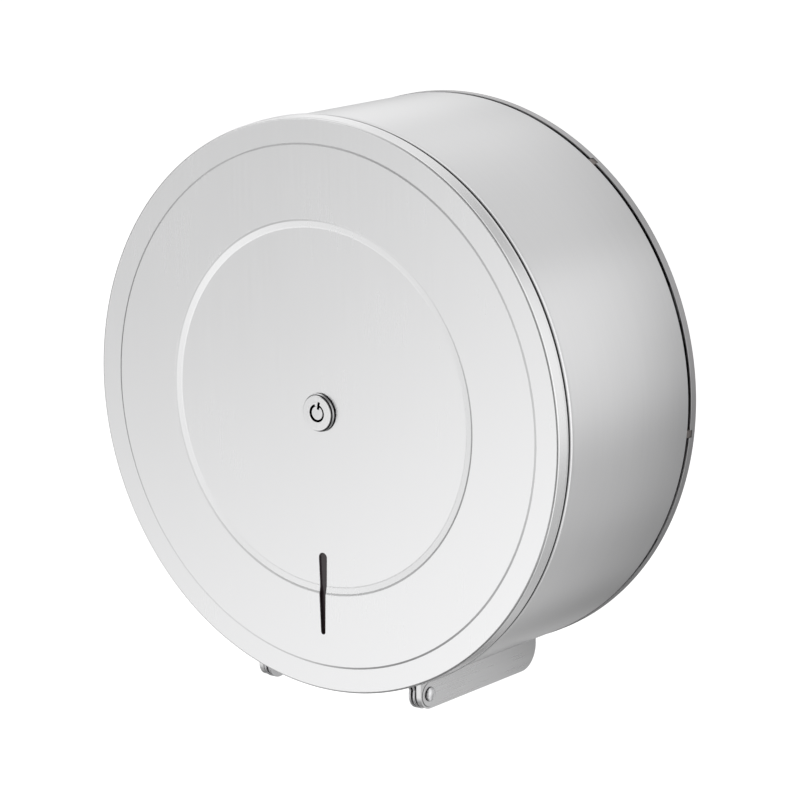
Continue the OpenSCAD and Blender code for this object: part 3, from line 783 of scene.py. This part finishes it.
def key_tab():
    """The closed part of the keyway's ring, beside the notch."""
    steps = 6
    turns = [math.radians(KEY_ANGLE + KEY_TAB_START + KEY_TAB_TURN * k / steps) for k in range(steps + 1)]
    sides = ((KEY_POST_R + 0.12, turns), (KEY_TAB_R, turns[::-1]))
    return [(r * math.cos(a), LOCK_AXIS_Z + r * math.sin(a)) for r, row in sides for a in row]


def bezel_side():
    """The bezel's outside as (r, h, fillet) corners, with a groove at its base and one at its front."""
    groove_r = BEZEL_R - 0.75
    return [(BEZEL_R - 0.3, PANEL_H, 0), (BEZEL_R - 0.3, PANEL_H + 0.55, 0.1), (BEZEL_R, PANEL_H + 0.8, 0.2),
            (BEZEL_R - 0.35, BEZEL_H - 1.15, 0.3), (groove_r, BEZEL_H - 0.95, 0.1),
            (groove_r, BEZEL_H - 0.45, 0.1), (BEZEL_R - 1.1, BEZEL_H, 0.3)]


def make_lock_body():
    side = thread(LOCK_BODY_R, LOCK_REAR_H + 0.4, PANEL_BACK_H - 0.3)
    loop = rounded(
        [(PLUG_BORE_R, LOCK_REAR_H, 0.2), (LOCK_BODY_R - 0.5, LOCK_REAR_H, 0)]
        + [(r, h, 0) for r, h in side]
        + [(LOCK_BODY_R, PANEL_BACK_H, 0), (LOCK_BODY_R, PANEL_H, 0)] + bezel_side()
        + [(KEY_MOUTH_R, BEZEL_H, 0.15), (KEY_MOUTH_R, BEZEL_H - 1.2, 0),
           (PLUG_BORE_R, BEZEL_H - 1.4, 0)], grow=1.5)
    ob = revolve("lock_bezel", loop, 128, place=on_lock_axis)
    cut(ob, [prism("notch", key_notch(0, KEY_NOTCH_R), KEYWAY_FLOOR_H, BEZEL_H + 1)])
    join([ob, prism("tab", key_tab(), BEZEL_H - 0.9, BEZEL_H - 0.02)])
    soften(ob)
    dress(ob, "lock_body")


def make_plug():
    loop = rounded([(0, CAM_FRONT_H, 0), (PLUG_R, CAM_FRONT_H, 0.3), (PLUG_R, KEYWAY_FLOOR_H, 0),
                    (KEY_POST_R, KEYWAY_FLOOR_H, 0), (KEY_POST_R, PLUG_FACE_H, 0.2), (0, PLUG_FACE_H, 0)],
                   grow=1.5)
    ob = revolve("lock_core", loop, 96, place=on_lock_axis)
    cut(ob, [prism("notch", key_notch(2.0, 6.0), KEYWAY_FLOOR_H, PLUG_FACE_H + 1)])
    dress(ob, "lock_plug")


make_lock_body()
make_plug()

# ---------------------------------------------------------------- the rest

# CAD node, its piece's name, and the width of its rounded edges
for node, name, width in (
        ("outlet_cheek_left", "cheek_left", 0.3), ("outlet_cheek_right", "cheek_right", 0.3),
        ("tear_blade_left", "blade_left", 0.12), ("tear_blade_right", "blade_right", 0.12),
        ("lid_lug_left", "lug_left", 0.3), ("lid_lug_right", "lug_right", 0.3),
        ("drum_brackets", "brackets", 0.25), ("bracket_studs", "plate_studs", 0.3),
        ("bracket_nuts", "plate_nuts", 0.2), ("spindle_studs", "flange_studs", 0.3),
        ("spindle_nuts", "flange_nuts", 0.2), ("spindle_flange", "flange_disc", 0.4),
        ("spindle_post", "post", 0.3), ("thrust_washer", "slide_ring", 0.15),
        ("hinge_washers", "slide_washers", 0.12), ("keeper_bracket", "keeper", 0.3),
        ("keeper_screws", "keeper_bolts", 0.2), ("roll_hub", "core_hub", 0.3),
        ("gap_spacers", "rubber_keys", 0.25), ("lid_buffers", "rubber_feet", 0.3),
        ("level_window", "window", 0.2), ("lock_washer", "plain_washer", 0.15),
        ("lock_nut", "ring_nut", 0.3), ("lock_cam", "cam", 0.25), ("cam_screw", "cam_bolt", 0.2)):
    refined(node, name, width)

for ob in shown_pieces():
    slot = ob.get("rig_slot") or slot_of.get(ob.name)
    ob.data.materials.clear()
    ob.data.materials.append(materials[slot])

# ---------------------------------------------------------------- floor, world and light

FLOOR_Z = -620
FLOOR_REACH = 9000
FLOOR_LIFT = 0.45
CARD_Y = 20
CARD_REACH = 1500


def make_floor():
    """A pale floor that the camera sees lifted to white, and that mirrors don't see."""
    a = FLOOR_REACH
    ob = new_object("floor", [(-a, -a, FLOOR_Z), (a, -a, FLOOR_Z), (a, a, FLOOR_Z), (-a, a, FLOOR_Z)],
                    [[0, 1, 2, 3]])
    tree, shader, link = material("floor_white")
    new = tree.nodes.new
    inputs(shader, Base_Color=(0.86, 0.86, 0.86, 1), Roughness=0.9, Emission_Color=(1, 1, 1, 1))
    path = new("ShaderNodeLightPath").outputs
    link(times(tree, path["Is Camera Ray"], FLOOR_LIFT), shader.inputs["Emission Strength"])
    mix = new("ShaderNodeMixShader")
    link(arithmetic(tree, "MAXIMUM", path["Is Glossy Ray"], path["Is Transmission Ray"]), mix.inputs[0])
    link(shader.outputs[0], mix.inputs[1])
    link(new("ShaderNodeBsdfTransparent").outputs[0], mix.inputs[2])
    link(mix.outputs[0], tree.nodes["Material Output"].inputs[0])
    ob.data.materials.append(materials["floor_white"])


make_floor()


def make_wall_card():
    """A clear card behind the object, for glossy rays alone: it dims what the drum mirrors of the wall."""
    in_r, out_r, low_z, high_z = (v * MM for v in (150, 248, 40, 200))
    dim_low, dim_high = 0.516, 0.013
    a = CARD_REACH
    ob = new_object("wall_card", [(-a, CARD_Y, -a), (a, CARD_Y, -a), (a, CARD_Y, a), (-a, CARD_Y, a)],
                    [[0, 1, 2, 3]])
    ob.visible_camera = ob.visible_diffuse = ob.visible_shadow = ob.visible_transmission = False
    tree, shader, link = material("wall_card")
    tree.nodes.remove(shader)
    new = tree.nodes.new
    x, _, z = split(tree, object_coords(tree))
    radius = distance(tree, x, z)
    outward = spread(tree, radius, 1.0, 0.0, in_r, out_r, smooth=True)
    dim = times(tree, outward, spread(tree, z, dim_low, dim_high, low_z, high_z))
    dim = times(tree, dim, inverse(tree, arithmetic(tree, "LESS_THAN", radius, in_r)))
    dim = times(tree, dim, new("ShaderNodeLightPath").outputs["Is Glossy Ray"])
    clear = new("ShaderNodeBsdfTransparent")
    link(inverse(tree, dim), clear.inputs["Color"])
    link(clear.outputs[0], tree.nodes["Material Output"].inputs[0])
    ob.data.materials.append(materials["wall_card"])


make_wall_card()

# What glossy rays see of the world: soft lobes on a base level, each a direction, the angle within which
# it is full, the angle at which it is gone, and its strength. A fitting program made these numbers and
# the wall card's, to bring the steel's tones near the photograph's. It isn't the plain white surround
# that such a scene should have: see the light in report.md.
MIRRORED_BASE = 0.683
MIRRORED_LEAST = 0.16
MIRRORED_LOBES = (
    ((-0.428, -0.669, -0.608), 35.6, 75.6, 1.012),
    ((-0.696, -0.713, 0.077), 9.6, 22.6, -1.282),
    ((0.132, -0.587, -0.799), 16.5, 29.5, -0.347),
    ((0.287, 0.956, 0.061), 29.2, 42.2, 0.341),
    ((0.366, 0.929, 0.059), 11.7, 56.6, -0.627),
    ((-0.097, 0.589, 0.802), 22.2, 35.2, 0.340),
    ((-0.803, 0.480, 0.354), 17.0, 30.0, 0.615),
    ((-0.071, 0.997, 0.031), 32.6, 45.6, 0.486),
    ((0.246, 0.597, -0.764), 33.2, 46.2, -0.217),
    ((-0.439, 0.898, 0.027), 64.2, 77.2, -0.522),
    ((0.842, 0.367, -0.396), 54.9, 82.6, 0.650),
    ((-0.002, -0.991, -0.134), 21.6, 34.6, -0.712),
    ((-0.227, -0.723, -0.652), 59.4, 72.4, -0.865),
    ((0.183, 0.782, 0.595), 35.6, 48.6, 0.102),
    ((-0.201, -0.365, 0.909), 58.6, 71.6, 0.353),
    ((-0.134, 0.595, -0.793), 31.1, 44.1, 0.231),
    ((-0.395, 0.600, -0.695), 41.4, 54.4, -0.231),
    ((0.926, -0.377, 0.014), 31.8, 44.8, -0.736),
    ((-0.337, -0.809, 0.482), 4.7, 17.7, -0.644),
    ((-0.989, -0.132, 0.069), 15.9, 28.9, -0.535),
    ((-0.789, -0.613, -0.030), 0.0, 13.0, 1.077),
    ((0.976, 0.219, 0.016), 0.0, 24.9, 0.561),
    ((-0.602, 0.696, -0.391), 10.1, 23.1, 0.670),
    ((0.250, -0.395, 0.884), 6.7, 47.0, -0.912),
    ((0.372, -0.062, -0.926), 18.1, 36.8, -0.666),
    ((-0.613, -0.783, 0.110), 0.0, 13.0, 1.102),
    ((-0.225, -0.961, -0.164), 3.0, 30.4, 0.827),
    ((-0.687, -0.720, -0.100), 7.1, 20.1, 0.357),
    ((-0.274, -0.405, -0.872), 15.9, 28.9, -0.628),
)
PLAIN_LEVEL = 0.72


def lobe(tree, direction, towards, inner, outer, strength):
    """One soft lobe: its strength within the inner angle, and nothing beyond the outer one."""
    dot = tree.nodes.new("ShaderNodeVectorMath")
    dot.operation = "DOT_PRODUCT"
    tree.links.new(direction, dot.inputs[0])
    dot.inputs[1].default_value = Vector(towards).normalized()
    gone, full = math.cos(math.radians(outer)), math.cos(math.radians(inner))
    return spread(tree, dot.outputs["Value"], 0.0, strength, gone, full, smooth=True)


def background(tree, strength):
    """A white background of a strength, which is a number or an output."""
    n = tree.nodes.new("ShaderNodeBackground")
    n.inputs["Color"].default_value = (1, 1, 1, 1)
    if isinstance(strength, bpy.types.NodeSocket):
        tree.links.new(strength, n.inputs["Strength"])
    else:
        n.inputs["Strength"].default_value = strength
    return n.outputs[0]


def either(tree, factor, a, b):
    """Shader a where the factor is 0 and b where it is 1."""
    n = tree.nodes.new("ShaderNodeMixShader")
    for value, socket in zip((factor, a, b), n.inputs):
        tree.links.new(value, socket)
    return n.outputs[0]


def make_world():
    """Even light on all that isn't mirrored, the lobes for glossy rays, and white for the camera."""
    world = bpy.data.worlds.new("studio")
    scene.world = world
    world.use_nodes = True
    tree = world.node_tree
    unit = tree.nodes.new("ShaderNodeVectorMath")
    unit.operation = "NORMALIZE"
    tree.links.new(tree.nodes.new("ShaderNodeTexCoord").outputs["Generated"], unit.inputs[0])
    level = MIRRORED_BASE
    for args in MIRRORED_LOBES:
        level = plus(tree, level, lobe(tree, unit.outputs[0], *args))
    level = arithmetic(tree, "MAXIMUM", level, MIRRORED_LEAST)
    path = tree.nodes.new("ShaderNodeLightPath").outputs
    seen = arithmetic(tree, "MAXIMUM", path["Is Camera Ray"], path["Is Transmission Ray"])
    light = either(tree, path["Is Glossy Ray"], background(tree, PLAIN_LEVEL), background(tree, level))
    link = tree.links.new
    link(either(tree, seen, light, background(tree, 1.0)), tree.nodes["World Output"].inputs[0])


make_world()


def lamp(name, place, aim, size, power):
    """A round soft lamp, which mirrors don't see."""
    data = bpy.data.lights.new(name, "AREA")
    data.shape = "DISK"
    data.size = size
    data.energy = power
    ob = bpy.data.objects.new(name, data)
    scene.collection.objects.link(ob)
    ob.location = place
    ob.rotation_euler = (Vector(aim) - Vector(place)).to_track_quat("-Z", "Y").to_euler()
    ob.visible_glossy = False


MIDDLE = (0, -0.06, 0)
lamp("key", (-0.9, -1.6, 1.9), MIDDLE, 1.2, 18)
lamp("top", (0.7, 0.2, 2.0), MIDDLE, 1.2, 10)

# ---------------------------------------------------------------- camera

FOCAL_PX = 3559  # the focal length in pixels of the photograph's frame
FRAME_PX = 800
SENSOR = 36
CAMERA_ROLL = -0.87


def make_camera():
    """The camera at the photograph's viewing angle, in metres."""
    data = bpy.data.cameras.new("camera")
    ob = bpy.data.objects.new("camera", data)
    scene.collection.objects.link(ob)
    scene.camera = ob
    place, aim = Vector((1.16413, -1.54094, 0.41050)), Vector((0.05359, -0.126, 0.01132))
    forward = (aim - place).normalized()
    right = forward.cross(Vector((0, 0, 1))).normalized()
    up = right.cross(forward)
    c, d = math.cos(math.radians(CAMERA_ROLL)), math.sin(math.radians(CAMERA_ROLL))
    right, up = right * c + up * d, up * c - right * d
    ob.matrix_world = Matrix.Translation(place) @ Matrix((right, up, -forward)).transposed().to_4x4()
    data.lens = FOCAL_PX / FRAME_PX * SENSOR
    data.sensor_width = SENSOR
    data.clip_start, data.clip_end = 0.05, 50


make_camera()

scene.view_settings.view_transform = "Standard"
